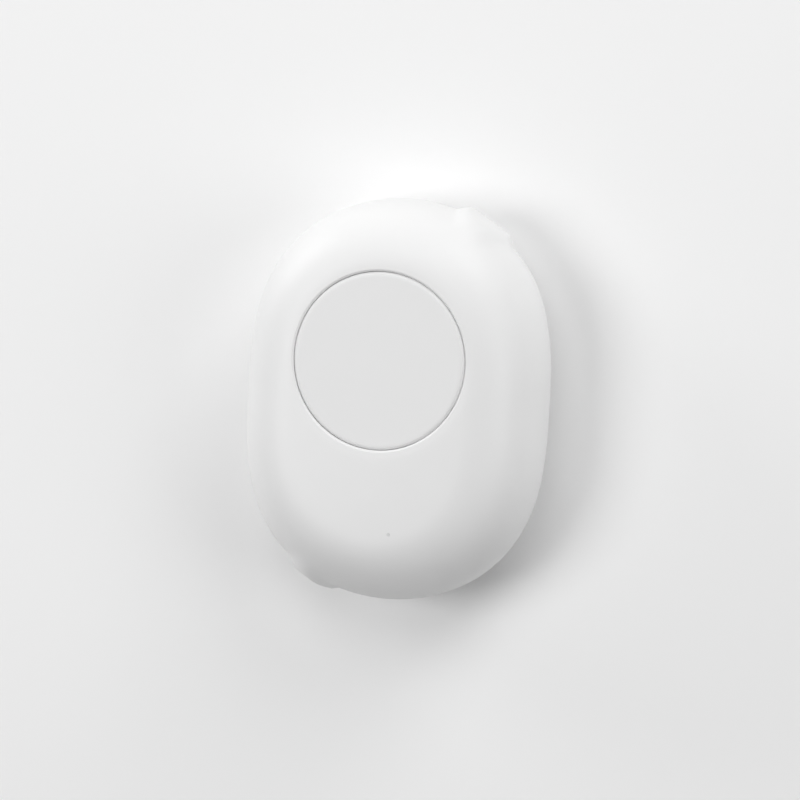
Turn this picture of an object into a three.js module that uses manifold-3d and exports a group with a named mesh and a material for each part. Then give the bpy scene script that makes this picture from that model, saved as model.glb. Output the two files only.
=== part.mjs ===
// A bluetooth tracker tag: a pebble-shaped case with one large round press button, a sounder, an
// indicator light, a coin cell behind a turning door, and a flat lug at two opposite corners for a holder.
// Millimetres, +Z up. The tag lies on its flat back, its button faces +Z, and +Y points to the end
// nearest the button. The origin is the middle of the back face.
import * as THREE from "three";
import { mergeVertices } from "three/addons/utils/BufferGeometryUtils.js";
import Module from "manifold-3d";

const wasm = await Module();
wasm.setup();

// ---------------------------------------------------------------- driving dimensions

const THICKNESS = 16;
const HALF_WIDTH = 18.05;
const END_STRETCH = 5.45; // half-length less half-width, the same at every level of the case
const STRETCH_START = 8; // half-width below which a level's stretch fades to nothing
const PLAN_POWER = 2.9; // how square the plan's long sides are
const WIDEST_Z = 7;
const FRONT = { crown: 0.27, start: 10.3, power: 2.2 }; // a faint crown, then a roll from this half-width
const BACK_FLAT = 13; // half-width of the flat back
const WALL = 1.7;
const CAVITY_HALF_WIDTH = 15.5;
const GAP = 0.15; // running and assembly clearance
const SEAM_Z = 2.6; // the rear cover ends here
const SEAM_GAP = 0.2;

const BUTTON = { y: 5, radius: 10.3, top: 15.68, plate: 1.4, skirt: 1.1, flange: 11.2, foot: 12.8 };
const BUTTON_SEAT = { radius: 11.6, z: 14 };
const PLUNGER = { radius: 1.3, flange: 1.65, bottom: 8.4, shoulder: 8.65, top: 9.9 };
const STEM = { radius: 1.4, bottom: 9.95 };
const GUIDE = { inner: 9.6, outer: 12.4, bottom: 10.3, top: 11.3, bush: 2.9, leg: 11 };
const RETURN_RING = { inner: 10.1, outer: 11.3, waist: 0.3, bottom: 11.38, top: 12.75 };

const LUG = { angle: 58, face: 23.35, middle: 3.3, half: 2.5, slope: 1.5, rise: 1.2, root: 14, proud: 1.5 };
const LUG_LEVEL = { low: 3.4, full: 4.2, brow: 8.8, fade: 12.4, tuck: 3.4 };

const SCREW = { x: 6.2, y: 14.6, shank: 0.75, head: 1.4, seat: 1.4, length: 7, headHeight: 0.8 };
const POST = { radius: 1.6, bottom: 2.9, top: 9.8, web: 1, webBottom: 4.8, webLength: 8 };
const WEB_DIRECTION = { x: 0.53, y: 0.85 }; // the webs run out to the nearest wall
const TONGUE = { outer: 14.5, inner: 13.3, top: 4.4 }; // the cover's wall that locates the front shell
const SEAL = { inner: 14.65, outer: 15.35, bottom: 2.65, top: 3.6 };
const SOUND = { y: -15.2, hole: 0.4, pitch: 2 };

const DOOR = { radius: 11.9, face: 0.2, rim: 0.6, plug: 11, wall: 0.7, floor: 1.5, lip: 2.5 };
const COIN_SLOT = { width: 1.8, radius: 9, centre: -8.1 };
const BAYONET = { ledge: 1.2, ledgeTop: 1.8, ramp: 1.5, tabBottom: 1.95, reach: 11.95 };
const BAYONET_ANGLE = { tab: 20, turn: 45, first: 90, ramp: 22, stop: 14, stopWidth: 5 };

const CELL = { radius: 10, bottom: 1.7, height: 3.2, shell: 0.3 };
const TRAY = { inner: 10.3, outer: 11.5, bottom: 2.7, plate: 5.1, top: 6.1, halfWidth: 13.9 };
const BOARD = { bottom: 6.2, top: 7, halfWidth: 14.4 };
const STRIP = 0.2; // thickness of the contacts' spring strip
const SOLDER = 0.05; // stand-off of a part above the board
const LIGHT = { x: 2.37, y: -15.02, tip: 0.15, body: 1.1, bottom: 7.9, neck: 13.7, top: 15.72 };
const FAR = 30; // beyond the case on every side

const ROUND = 72; // facets round the case
const TURNED = 48; // facets round a large turned piece
const SMALL = 20; // facets round a small turned piece

const FINISH = {
  shell: new THREE.MeshStandardMaterial({ color: 0xf1f1f0, roughness: 0.45, metalness: 0 }),
  button: new THREE.MeshStandardMaterial({ color: 0xf0f0ef, roughness: 0.5, metalness: 0 }),
  inner: new THREE.MeshStandardMaterial({ color: 0xd8d9da, roughness: 0.6, metalness: 0 }),
  silicone: new THREE.MeshStandardMaterial({ color: 0x9da3a8, roughness: 0.8, metalness: 0 }),
  steel: new THREE.MeshStandardMaterial({ color: 0xb9bcc0, roughness: 0.3, metalness: 1 }),
  spring: new THREE.MeshStandardMaterial({ color: 0xd9b566, roughness: 0.3, metalness: 1 }),
  board: new THREE.MeshStandardMaterial({ color: 0x14503a, roughness: 0.5, metalness: 0 }),
  black: new THREE.MeshStandardMaterial({ color: 0x1b1c1e, roughness: 0.6, metalness: 0 }),
  ceramic: new THREE.MeshStandardMaterial({ color: 0xb79b78, roughness: 0.5, metalness: 0 }),
  clear: new THREE.MeshStandardMaterial({ color: 0xe9eef0, roughness: 0.2, metalness: 0 }),
};

// ---------------------------------------------------------------- solids

const radians = THREE.MathUtils.degToRad;

/** A closed geometry as a solid that can be joined and cut, with its faces pointing out. */
function toSolid(geometry) {
  const loose = geometry.index ? geometry.toNonIndexed() : geometry;
  const bare = new THREE.BufferGeometry().setAttribute("position", loose.getAttribute("position"));
  const merged = mergeVertices(bare, 1e-4);
  const corners = merged.index.array;
  const kept = [];
  for (let i = 0; i < corners.length; i += 3) {
    const [a, b, c] = [corners[i], corners[i + 1], corners[i + 2]];
    if (a !== b && b !== c && a !== c) kept.push(a, b, c);
  }
  const vertProperties = merged.attributes.position.array;
  const build = (list) =>
    new wasm.Manifold(new wasm.Mesh({ numProp: 3, vertProperties, triVerts: new Uint32Array(list) }));
  const made = build(kept);
  return made.volume() > 0 ? made : build(kept.reverse());
}

/** A solid's surface as a geometry. */
function toGeometry(solid) {
  const { numProp, numVert, vertProperties, triVerts } = solid.getMesh();
  const position = new Float32Array(numVert * 3);
  for (let i = 0; i < numVert; i++) {
    position.set(vertProperties.subarray(i * numProp, i * numProp + 3), i * 3);
  }
  const geometry = new THREE.BufferGeometry();
  geometry.setAttribute("position", new THREE.BufferAttribute(position, 3));
  geometry.setIndex(new THREE.BufferAttribute(triVerts, 1));
  geometry.computeVertexNormals();
  return geometry;
}

/** The geometry of a profile of [radius, z] points turned about Z. */
function turnedGeometry(profile, segments) {
  const points = profile.map(([radius, z]) => new THREE.Vector2(radius, z));
  return new THREE.LatheGeometry(points, segments).rotateX(Math.PI / 2);
}

const turned = (profile, segments = TURNED) => toSolid(turnedGeometry(profile, segments));

/** A round bar about Z, from one z to another. */
const bar = (radius, from, to, segments = TURNED) =>
  turned([[0, from], [radius, from], [radius, to], [0, to]], segments);

/** A round tube about Z. */
const tube = (inner, outer, from, to, segments = TURNED) =>
  turned([[inner, from], [outer, from], [outer, to], [inner, to], [inner, from]], segments);

/** A box from one corner to the other. */
function block([x0, y0, z0], [x1, y1, z1]) {
  const geometry = new THREE.BoxGeometry(x1 - x0, y1 - y0, z1 - z0);
  return toSolid(geometry.translate((x0 + x1) / 2, (y0 + y1) / 2, (z0 + z1) / 2));
}

/** A flat outline of [x, y] points, from one z to another. */
function plate(outline, from, to) {
  const shape = new THREE.Shape(outline.map(([x, y]) => new THREE.Vector2(x, y)));
  const geometry = new THREE.ExtrudeGeometry(shape, { depth: to - from, bevelEnabled: false });
  return toSolid(geometry.translate(0, 0, from));
}

/** A strip bent along [x, z] points, of a given width in Y. */
function bentStrip(outline, width) {
  const shape = new THREE.Shape(outline.map(([x, z]) => new THREE.Vector2(x, z)));
  const geometry = new THREE.ExtrudeGeometry(shape, { depth: width, bevelEnabled: false });
  return toSolid(geometry.translate(0, 0, -width / 2).rotateX(Math.PI / 2));
}

/** A sector of a ring about Z, centred on an angle in degrees. */
function sector(inner, outer, from, to, middle, spread) {
  const steps = 4;
  const angles = Array.from({ length: steps + 1 }, (_, i) => radians(middle + spread * (i / steps - 0.5)));
  const arc = (radius, list) => list.map((a) => [radius * Math.cos(a), radius * Math.sin(a)]);
  return plate([...arc(outer, angles), ...arc(inner, angles.slice().reverse())], from, to);
}

/** A profile of [half-width, z] points carried round the case's plan, which is a stretched oval. */
function oval(profile, segments = ROUND) {
  const geometry = turnedGeometry(profile, segments);
  const position = geometry.attributes.position;
  for (let i = 0; i < position.count; i++) {
    const half = Math.hypot(position.getX(i), position.getY(i));
    if (half < 1e-6) continue;
    const cos = position.getX(i) / half;
    const sin = position.getY(i) / half;
    const fade = 1 - Math.max(0, 1 - half / STRETCH_START) ** 2;
    const across = Math.sqrt(Math.max(0, 1 - Math.abs(sin) ** PLAN_POWER));
    position.setXY(i, Math.sign(cos) * half * across, (half + END_STRETCH * fade) * sin);
  }
  return toSolid(geometry);
}

/** An upright wall or slab with the case's plan. */
const ovalSlab = (half, from, to) => oval([[0, from], [half, from], [half, to], [0, to]]);

// ---------------------------------------------------------------- the case's outer form

/** The front's height at a level's half-width, for a front this wide and this high. */
function frontHeight(half, wide, top, start = FRONT.start) {
  const crowned = FRONT.crown * (half / start) ** 2;
  const drop = top - WIDEST_Z - FRONT.crown * (wide / start) ** 2;
  const share = Math.max(0, (half - start) / (wide - start)) ** FRONT.power;
  return top - crowned - drop * (1 - Math.sqrt(Math.max(0, 1 - share)));
}

/** Points of the front, from the widest level up and in over the roll, then to near the middle. */
function frontProfile(wide, top, steps, start = FRONT.start) {
  const roll = Array.from({ length: steps }, (_, i) => {
    const half = start + (wide - start) * Math.cos((Math.PI / 2) * (i / steps));
    return [half, frontHeight(half, wide, top, start)];
  });
  const flatter = [1, 0.75, 0.5, 0.25].map((share) => {
    const half = start * share;
    return [half, frontHeight(half, wide, top, start)];
  });
  return [...roll, ...flatter];
}

/** The whole outside of the case. */
function outside(inset = 0) {
  const steps = 6;
  const wide = HALF_WIDTH - inset;
  const back = Array.from({ length: steps }, (_, i) => {
    const t = (Math.PI / 2) * (i / steps);
    return [BACK_FLAT + (wide - BACK_FLAT) * Math.sin(t), WIDEST_Z * (1 - Math.cos(t))];
  });
  return oval([[0, 0], ...back, ...frontProfile(wide, THICKNESS, 11), [0, THICKNESS]]);
}

/** The hollow of the front shell: upright walls under a rolled roof. */
function cavity() {
  const wide = HALF_WIDTH - WALL - 0.1;
  const top = THICKNESS - WALL;
  const roof = frontProfile(wide, top, 11, FRONT.start - 0.4).filter(([half]) => half < CAVITY_HALF_WIDTH);
  const springing = frontHeight(CAVITY_HALF_WIDTH, wide, top, FRONT.start - 0.4);
  return oval([
    [0, 2],
    [CAVITY_HALF_WIDTH, 2],
    [CAVITY_HALF_WIDTH, springing],
    ...roof,
    [0, top],
  ]);
}

/** Turns a solid drawn with +X pointing out of a lug to one of the two opposite corners. */
const atLug = (solid, turn) => solid.rotate([0, 0, LUG.angle + turn]);

/** One lug, drawn with +X pointing out: a flat pad with sloping ends that dies into the front's roll. */
function lug() {
  const { face, half, middle, slope, rise, root } = LUG;
  return plate(
    [
      [root, middle - half - slope],
      [face - rise, middle - half - slope],
      [face, middle - half],
      [face, middle + half],
      [face - rise, middle + half + slope],
      [root, middle + half + slope],
    ],
    LUG_LEVEL.low,
    LUG_LEVEL.fade,
  );
}

/** The level form the lugs are trimmed to: upright up to a brow, then leaning in to the case. */
function lugEnvelope() {
  const { low, full, brow, fade, tuck } = LUG_LEVEL;
  const half = HALF_WIDTH + LUG.proud;
  return oval([[0, low], [half - 0.4, low], [half, full], [half, brow], [half - tuck, fade], [0, fade]]);
}

// ---------------------------------------------------------------- case

const corners = [1, -1].flatMap((sx) => [1, -1].map((sy) => [sx, sy]));

/** Adds one solid to another at each of the four screws, mirrored into its corner. */
const atScrews = (make) =>
  corners.map(([sx, sy]) => make(sx, sy).translate([sx * SCREW.x, sy * SCREW.y, 0]));

const joined = (first, others) => others.reduce((sum, next) => sum.add(next), first);
const cut = (first, others) => others.reduce((rest, next) => rest.subtract(next), first);

/** The rib from a screw post to the nearest wall, as a bar of a given half-thickness and height. */
function web(sx, sy, half, from, to) {
  const angle = THREE.MathUtils.radToDeg(Math.atan2(sy * WEB_DIRECTION.y, sx * WEB_DIRECTION.x));
  return block([0, -half, from], [POST.webLength, half, to]).rotate([0, 0, angle]);
}

function frontShell() {
  const body = outside();
  const below = block([-FAR, -FAR, -1], [FAR, FAR, SEAM_Z + SEAM_GAP]);
  const skin = lugEnvelope().subtract(outside(WALL / 2));
  const lugs = [0, 180].map((turn) => atLug(lug(), turn).intersect(skin));
  const posts = atScrews((sx, sy) =>
    bar(POST.radius, POST.bottom, POST.top, SMALL).add(
      web(sx, sy, POST.web / 2, POST.webBottom, POST.top),
    ),
  ).map((post) => post.intersect(body));
  const socket = bar(2, 12.4, THICKNESS, SMALL).translate([LIGHT.x, LIGHT.y, 0]).intersect(body);
  const hollow = body.subtract(cavity());
  const built = joined(hollow, [...lugs, ...posts, socket]);
  return cut(built, [
    below,
    bar(BUTTON.radius + GAP, 12, FAR).translate([0, BUTTON.y, 0]),
    bar(BUTTON_SEAT.radius, 11.8, BUTTON_SEAT.z).translate([0, BUTTON.y, 0]),
    bar(LIGHT.body + GAP, 10, LIGHT.neck + 0.4, SMALL).translate([LIGHT.x, LIGHT.y, 0]),
    bar(LIGHT.tip + 0.1, 10, FAR, 12).translate([LIGHT.x, LIGHT.y, 0]),
    ...atScrews(() => bar(SCREW.shank + 0.1, 0, POST.top - 0.8, 12)),
  ]);
}

/** The angles of the three bayonet tabs when the door is locked. */
const tabAngles = [0, 120, 240].map((step) => BAYONET_ANGLE.first + step);

function rearCover() {
  const above = block([-FAR, -FAR, SEAM_Z], [FAR, FAR, FAR]);
  const dish = outside().subtract(above).add(ovalSlab(TONGUE.outer, 2, TONGUE.top));
  const hollow = dish.subtract(ovalSlab(TONGUE.inner, 1.5, FAR));
  const pads = atScrews(() => bar(2.5, 1, SEAM_Z, SMALL));
  const ledge = bar(TONGUE.inner + 0.6, 1, BAYONET.ledgeTop);
  const { tab, turn, ramp, stop, stopWidth } = BAYONET_ANGLE;
  const stops = tabAngles.map((angle) => sector(11.2, 12.9, 1.6, 2.4, angle + stop, stopWidth));
  const solid = joined(hollow, [ledge, ...pads, ...stops]);
  return cut(solid, [
    bar(DOOR.radius + GAP, -1, BAYONET.ledge),
    bar(DOOR.plug + GAP, -1, FAR),
    ...tabAngles.map((angle) => sector(10, BAYONET.reach, -1, FAR, angle - turn, tab + 6)),
    ...tabAngles.map((angle) => sector(10, BAYONET.reach, BAYONET.ramp, FAR, angle - ramp, ramp)),
    ...atScrews(() => bar(SCREW.head + 0.2, -1, SCREW.seat, SMALL)),
    ...atScrews(() => bar(SCREW.shank + 0.25, -1, FAR, SMALL)),
    ...[-1, 0, 1].map((i) => bar(SOUND.hole, -1, FAR, 10).translate([i * SOUND.pitch, SOUND.y, 0])),
  ]);
}

/** The silicone ring between the two halves of the case. */
const caseSeal = () => ovalSlab(SEAL.outer, SEAL.bottom, SEAL.top).subtract(ovalSlab(SEAL.inner, 2, FAR));

/** A pan-head screw with a cross recess, head down. */
function caseScrew() {
  const { shank, head, seat, length, headHeight } = SCREW;
  const low = seat - headHeight - 0.02;
  const high = seat - 0.02;
  const profile = [
    [0, low],
    [head - 0.35, low],
    [head, low + 0.3],
    [head, high],
    [shank, high],
    [shank, high + length - 0.9],
    [0.25, high + length],
    [0, high + length],
  ];
  const slot = block([-0.75, -0.16, low - 1], [0.75, 0.16, low + 0.45]);
  return turned(profile, SMALL).subtract(slot).subtract(slot.rotate([0, 0, 90]));
}

// ---------------------------------------------------------------- battery and its door

function batteryDoor() {
  const { radius, face, rim, plug, wall, floor, lip } = DOOR;
  const shell = turned([
    [0, face],
    [radius - 0.25, face],
    [radius, face + 0.25],
    [radius, face + rim],
    [plug, face + rim],
    [plug, lip],
    [plug - wall, lip],
    [plug - wall, floor],
    [0, floor],
  ]);
  const tabs = tabAngles.map((angle) =>
    sector(plug - 0.3, radius - 0.15, BAYONET.tabBottom, lip, angle, BAYONET_ANGLE.tab),
  );
  const coin = bar(COIN_SLOT.radius, -COIN_SLOT.width / 2, COIN_SLOT.width / 2);
  return joined(shell, tabs).subtract(coin.rotate([90, 0, 0]).translate([0, 0, COIN_SLOT.centre]));
}

/** The door's sealing ring, a six-sided section. */
function doorSeal() {
  const sides = 6;
  const section = Array.from({ length: sides + 1 }, (_, i) => {
    const t = (i / sides) * 2 * Math.PI;
    return [11.52 + 0.2 * Math.cos(t), 1 + 0.17 * Math.sin(t)];
  });
  return turned(section, TURNED);
}

function cellCan() {
  const { radius, bottom, height, shell } = CELL;
  const crimp = bottom + height - 0.15;
  return turned([
    [0, bottom],
    [radius - 0.3, bottom],
    [radius, bottom + 0.3],
    [radius, crimp - 0.45],
    [radius - 0.35, crimp],
    [radius - 0.75, crimp],
    [radius - 0.75, crimp - 0.3],
    [radius - shell - 0.15, crimp - 0.6],
    [radius - shell - 0.15, bottom + 0.45],
    [0, bottom + 0.45],
  ]);
}

const cellGasket = () => tube(8.95, 9.18, CELL.bottom + 0.5, CELL.bottom + CELL.height - 0.1);

function cellCap() {
  const top = CELL.bottom + CELL.height;
  return turned([
    [0, CELL.bottom + 0.55],
    [8.85, CELL.bottom + 0.55],
    [8.85, top - 0.35],
    [8.55, top],
    [0, top],
  ]);
}

/** The screw posts and their ribs, with clearance, as one cutter for what surrounds them. */
const postClearance = (radius) =>
  atScrews((sx, sy) =>
    bar(radius, 0, 12, SMALL).add(web(sx, sy, POST.web / 2 + 0.3, 0, 12)),
  );

/** The tray round the cell, and the shelf under the board. */
function batteryTray() {
  const { inner, outer, bottom, plate: shelf, top, halfWidth } = TRAY;
  const solid = ovalSlab(halfWidth, shelf, top).add(bar(outer, bottom, shelf + 0.1));
  return cut(solid, [
    bar(inner, 0, shelf),
    bar(8, 0, 9),
    block([9, -1.9, 0], [13.6, 1.9, 9]),
    block([-12, -4, 0], [-9.4, 4, 3.9]),
    ...postClearance(POST.radius + 0.3),
  ]);
}

/** The contact that presses on the side of the cell's can. */
function positiveContact() {
  const foot = BOARD.bottom - SOLDER;
  return bentStrip(
    [
      [13.2, foot],
      [10.7, foot],
      [10.45, foot - 0.25],
      [10.45, 5],
      [10.05, 3.9],
      [10.5, 2.9],
      [10.5 + STRIP, 2.9],
      [10.08 + STRIP, 3.9],
      [10.45 + STRIP, 5],
      [10.45 + STRIP, foot - 0.35],
      [10.85, foot - STRIP],
      [13.2, foot - STRIP],
    ],
    3,
  );
}

/** The two-fingered spring that presses on the cell's cap. */
function negativeContact() {
  const foot = BOARD.bottom - SOLDER;
  const touch = CELL.bottom + CELL.height + 0.06;
  const finger = bentStrip(
    [
      [0, foot],
      [0, foot - STRIP],
      [2.4, foot - STRIP],
      [5.4, touch],
      [5.9, touch],
      [7, touch + 0.4],
      [7, touch + 0.4 + STRIP],
      [5.8, touch + STRIP],
      [5.5, touch + STRIP],
      [2.6, foot],
    ],
    1.8,
  );
  const base = block([-2.4, -2.6, foot - STRIP], [2.4, 2.6, foot]);
  return base.add(finger).add(finger.rotate([0, 0, 180]));
}

// ---------------------------------------------------------------- board and its parts

const circuitBoard = () =>
  cut(ovalSlab(BOARD.halfWidth, BOARD.bottom, BOARD.top), postClearance(POST.radius + 0.35));

/** A block-shaped part standing on the board, centred on its own origin. */
const chip = (width, length, height) =>
  block([-width / 2, -length / 2, SOLDER], [width / 2, length / 2, height + SOLDER]);

/** A chip with a smaller lid, as a crystal or a capacitor with stepped ends. */
const steppedChip = (width, length, height) =>
  chip(width, length, height * 0.8).add(chip(width * 0.72, length * 0.72, height));

function switchBase() {
  const well = bar(1.9, 0.5, 9, SMALL);
  const legs = chip(7.4, 1, 0.25).translate([0, 2, 0]).add(chip(7.4, 1, 0.25).translate([0, -2, 0]));
  return chip(6, 6, 1.7).add(legs).subtract(well);
}

const switchDome = () =>
  turned([[0, 7.58], [1.7, 7.55], [1.7, 7.6], [1.1, 7.72], [0, 7.78]], SMALL);

const switchCover = () => block([-3, -3, 8.8], [3, 3, 9.05]).subtract(bar(1.45, 8, 10, SMALL));

function switchPlunger() {
  const { radius, flange, bottom, shoulder, top } = PLUNGER;
  return turned(
    [[0, bottom], [flange, bottom], [flange, shoulder], [radius, shoulder], [radius, top], [0, top]],
    SMALL,
  );
}

/** A square sounder with its port in one side. */
function buzzerCase() {
  const port = block([-1.6, -6, 1.6], [1.6, -3.6, 2.3]);
  const hollow = bar(3.7, 0.6, 2.4, 32);
  return chip(8.5, 8.5, 3).subtract(port).subtract(hollow);
}

const buzzerDiaphragm = () => bar(3.5, 1.2, 1.35, 32);

function lightPipe() {
  const { tip, body, bottom, neck, top } = LIGHT;
  return turned(
    [
      [0, bottom],
      [body - 0.2, bottom],
      [body, bottom + 0.3],
      [body, neck],
      [tip, neck + 0.3],
      [tip, top],
      [0, top],
    ],
    12,
  );
}

// ---------------------------------------------------------------- button

function buttonCap() {
  const { radius, top, plate: thick, skirt, flange, foot } = BUTTON;
  const under = top - thick;
  const chamfer = 0.2;
  const shell = turned([
    [0, under],
    [radius - skirt, under],
    [radius - skirt, foot],
    [flange, foot],
    [flange, BUTTON_SEAT.z - GAP],
    [radius, BUTTON_SEAT.z - GAP],
    [radius, top - chamfer],
    [radius - chamfer, top],
    [0, top],
  ]);
  const stem = bar(STEM.radius, STEM.bottom, under + 0.2, SMALL);
  const rib = block([-radius + 0.8, -0.4, foot + 0.4], [radius - 0.8, 0.4, under + 0.2]);
  return joined(shell, [stem, rib, rib.rotate([0, 0, 90])]);
}

/** The bridge that carries the return ring and keeps the stem upright. */
function buttonGuide() {
  const { inner, outer, bottom, top, bush } = GUIDE;
  const arm = block([-inner - 0.4, -0.8, bottom], [inner + 0.4, 0.8, top]);
  const leg = bar(0.9, BOARD.top + SOLDER, bottom + 0.2, 12).translate([GUIDE.leg, 0, 0]);
  const legs = [20, 160, 200, 340].map((angle) => leg.rotate([0, 0, angle]));
  const frame = joined(tube(inner, outer, bottom, top), [
    arm,
    arm.rotate([0, 0, 90]),
    bar(bush, bottom, top, SMALL),
    ...legs,
  ]);
  return frame.subtract(bar(STEM.radius + 0.2, 0, 20, SMALL));
}

/** The silicone ring that lifts the button again, with a waisted section. */
function returnRing() {
  const { inner, outer, waist, bottom, top } = RETURN_RING;
  const middle = (bottom + top) / 2;
  return turned([
    [inner, bottom],
    [outer, bottom],
    [outer - waist, middle],
    [outer, top],
    [inner, top],
    [inner + waist, middle],
    [inner, bottom],
  ]);
}

// ---------------------------------------------------------------- assembly

/** A named mesh of one solid, placed in its group. */
function piece(name, solid, material, x = 0, y = 0, z = 0) {
  const mesh = new THREE.Mesh(toGeometry(solid), material);
  mesh.name = name;
  mesh.position.set(x, y, z);
  return mesh;
}

/** A group at a height and a place, holding its meshes. */
function assembly(meshes, x = 0, y = 0, z = 0) {
  const group = new THREE.Group();
  group.add(...meshes);
  group.position.set(x, y, z);
  return group;
}

const screws = corners.map(([sx, sy], i) =>
  piece(`case_screw_${i + 1}`, caseScrew(), FINISH.steel, sx * SCREW.x, sy * SCREW.y),
);

const caseGroup = assembly([
  piece("front_shell", frontShell(), FINISH.shell),
  piece("rear_cover", rearCover(), FINISH.shell),
  piece("case_seal", caseSeal(), FINISH.silicone),
  piece("sound_membrane", block([-3.3, -1.3, 1.55], [3.3, 1.3, 1.75]), FINISH.black, 0, SOUND.y),
  ...screws,
]);

const powerGroup = assembly([
  piece("battery_door", batteryDoor(), FINISH.shell),
  piece("door_seal", doorSeal(), FINISH.silicone),
  piece("cell_can", cellCan(), FINISH.steel),
  piece("cell_gasket", cellGasket(), FINISH.black),
  piece("cell_cap", cellCap(), FINISH.steel),
  piece("battery_tray", batteryTray(), FINISH.inner),
  piece("positive_contact", positiveContact(), FINISH.spring),
  piece("negative_contact", negativeContact(), FINISH.spring),
]);

const capacitors = [0, 1, 2, 3].map((i) =>
  piece(`capacitor_${i + 1}`, steppedChip(1.6, 0.9, 0.8), FINISH.ceramic, 0.6, -5.6 - 1.8 * i),
);

const boardGroup = assembly(
  [
    piece("radio_chip", chip(5, 5, 0.85), FINISH.black, 5.2, -7.2),
    piece("crystal", steppedChip(2, 2.5, 0.7), FINISH.steel, 10.4, -6.6),
    piece("motion_sensor", chip(2.2, 2.2, 0.9), FINISH.black, 9.6, -10.4),
    piece("chip_antenna", chip(5, 1.4, 1.1), FINISH.ceramic, 0, -17.9),
    piece("power_inductor", steppedChip(2.5, 2, 1.2), FINISH.black, 4.8, -2.4),
    piece("indicator_led", steppedChip(1.6, 0.9, 0.7), FINISH.clear, LIGHT.x, LIGHT.y),
    piece("buzzer_case", buzzerCase(), FINISH.black, -6.6, -8.1),
    piece("buzzer_diaphragm", buzzerDiaphragm(), FINISH.steel, -6.6, -8.1),
    ...capacitors,
  ],
  0,
  0,
  BOARD.top,
);

const switchGroup = assembly(
  [
    piece("switch_base", switchBase(), FINISH.black, 0, 0, BOARD.top),
    piece("switch_dome", switchDome(), FINISH.steel),
    piece("switch_cover", switchCover(), FINISH.steel),
    piece("switch_plunger", switchPlunger(), FINISH.black),
    piece("button_guide", buttonGuide(), FINISH.inner),
    piece("return_ring", returnRing(), FINISH.silicone),
    piece("button_cap", buttonCap(), FINISH.button),
  ],
  0,
  BUTTON.y,
);

const tag = assembly([
  caseGroup,
  powerGroup,
  piece("circuit_board", circuitBoard(), FINISH.board),
  boardGroup,
  switchGroup,
  piece("light_pipe", lightPipe(), FINISH.clear, LIGHT.x, LIGHT.y),
]);

export default tag;
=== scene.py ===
"""Fine surfaces, finishes, stage and light for a pebble-shaped tracker tag.

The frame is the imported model: metres, +Z out of the tag's face, +Y to the end nearest the button,
lying on its flat back with the origin in the middle of the back.
"""

import math

import bmesh
import bpy
from bpy.props import FloatProperty, FloatVectorProperty, IntProperty, PointerProperty
from mathutils import Matrix, Vector


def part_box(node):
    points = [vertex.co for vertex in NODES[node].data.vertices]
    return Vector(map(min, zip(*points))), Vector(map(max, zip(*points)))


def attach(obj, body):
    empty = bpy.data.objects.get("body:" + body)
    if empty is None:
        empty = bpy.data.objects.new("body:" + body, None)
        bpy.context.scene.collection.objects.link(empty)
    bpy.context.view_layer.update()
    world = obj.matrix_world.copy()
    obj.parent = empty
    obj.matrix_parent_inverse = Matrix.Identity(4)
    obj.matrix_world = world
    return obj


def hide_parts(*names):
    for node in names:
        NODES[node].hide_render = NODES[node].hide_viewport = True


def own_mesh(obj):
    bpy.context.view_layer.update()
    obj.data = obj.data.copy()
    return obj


bl_info = {
    "name": "Pebble Tracker Tag",
    "version": (1, 0, 0),
    "blender": (4, 5, 0),
    "location": "3D View > Sidebar > Tag",
    "description": "Makes the fine surfaces and finishes of a tracker tag",
    "category": "Object",
}

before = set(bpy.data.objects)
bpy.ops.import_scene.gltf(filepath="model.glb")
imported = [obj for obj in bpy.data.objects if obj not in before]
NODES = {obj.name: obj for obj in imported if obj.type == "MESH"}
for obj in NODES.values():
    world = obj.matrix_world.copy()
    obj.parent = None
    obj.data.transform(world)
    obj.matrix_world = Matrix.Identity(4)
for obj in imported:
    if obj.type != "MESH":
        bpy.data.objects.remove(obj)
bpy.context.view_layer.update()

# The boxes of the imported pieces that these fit, in metres, except the door's face.
MM = 0.001
CAP_LOW, CAP_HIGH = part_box("button_cap")
SHELL_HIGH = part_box("front_shell")[1]
DOOR_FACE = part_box("battery_door")[0][2] / MM
PIPE_LOW, PIPE_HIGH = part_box("light_pipe")

# Sizes below are in millimetres and angles in degrees, unless a comment says otherwise.

# The case's form: every level is the same oval, wider or narrower.
HALF_WIDTH = SHELL_HIGH[0] / MM
END_STRETCH = SHELL_HIGH[1] / MM - HALF_WIDTH
STRETCH_START = 8.0
PLAN_POWER = 2.9
WIDEST_Z = 7.0
THICKNESS = 16.0
CROWN = 0.27
ROLL_START = 10.3
ROLL_POWER = 2.2
BACK_FLAT = 13.0
FACE_EDGE = 12.4  # half-width where the rings round the button give way to the case's ovals
SEAM_Z = 2.6
SEAM_GAP = 0.2
SEAM_LIP = 0.12
FAR_OUT = 60.0
HALVINGS = 40  # steps of each search for a place on the oval
SHARP_ANGLE = 35.0
SPREAD_STEPS, ROLL_STEPS, UNDER_STEPS = 18, 26, 14  # rings over the face, its roll, and below it
DISC_STEPS, COIN_STEPS, SMALL_STEPS, HOLE_STEPS = 192, 128, 48, 32  # steps round each turned form

# The shell's inside.
WALL = 1.7
CAVITY_HALF_WIDTH = 15.5
CAVITY_SIDE_TOP = 10.5
CAVITY_CEILING = 12.6  # half-width where the cavity's rounded ceiling ends
CEILING_STEPS = 9
SEAT_RADIUS, SEAT_Z = 11.6, 14.0

# The button and the dot.
BUTTON_Y = (CAP_LOW[1] + CAP_HIGH[1]) / 2 / MM
BUTTON_CENTRE = Vector((0, BUTTON_Y))
BUTTON_TOP = CAP_HIGH[2] / MM
OPENING_GAP = 0.06
OPENING_FOOT = THICKNESS - WALL - 0.25
OPENING_MIDDLE = THICKNESS - 1.0
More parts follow.
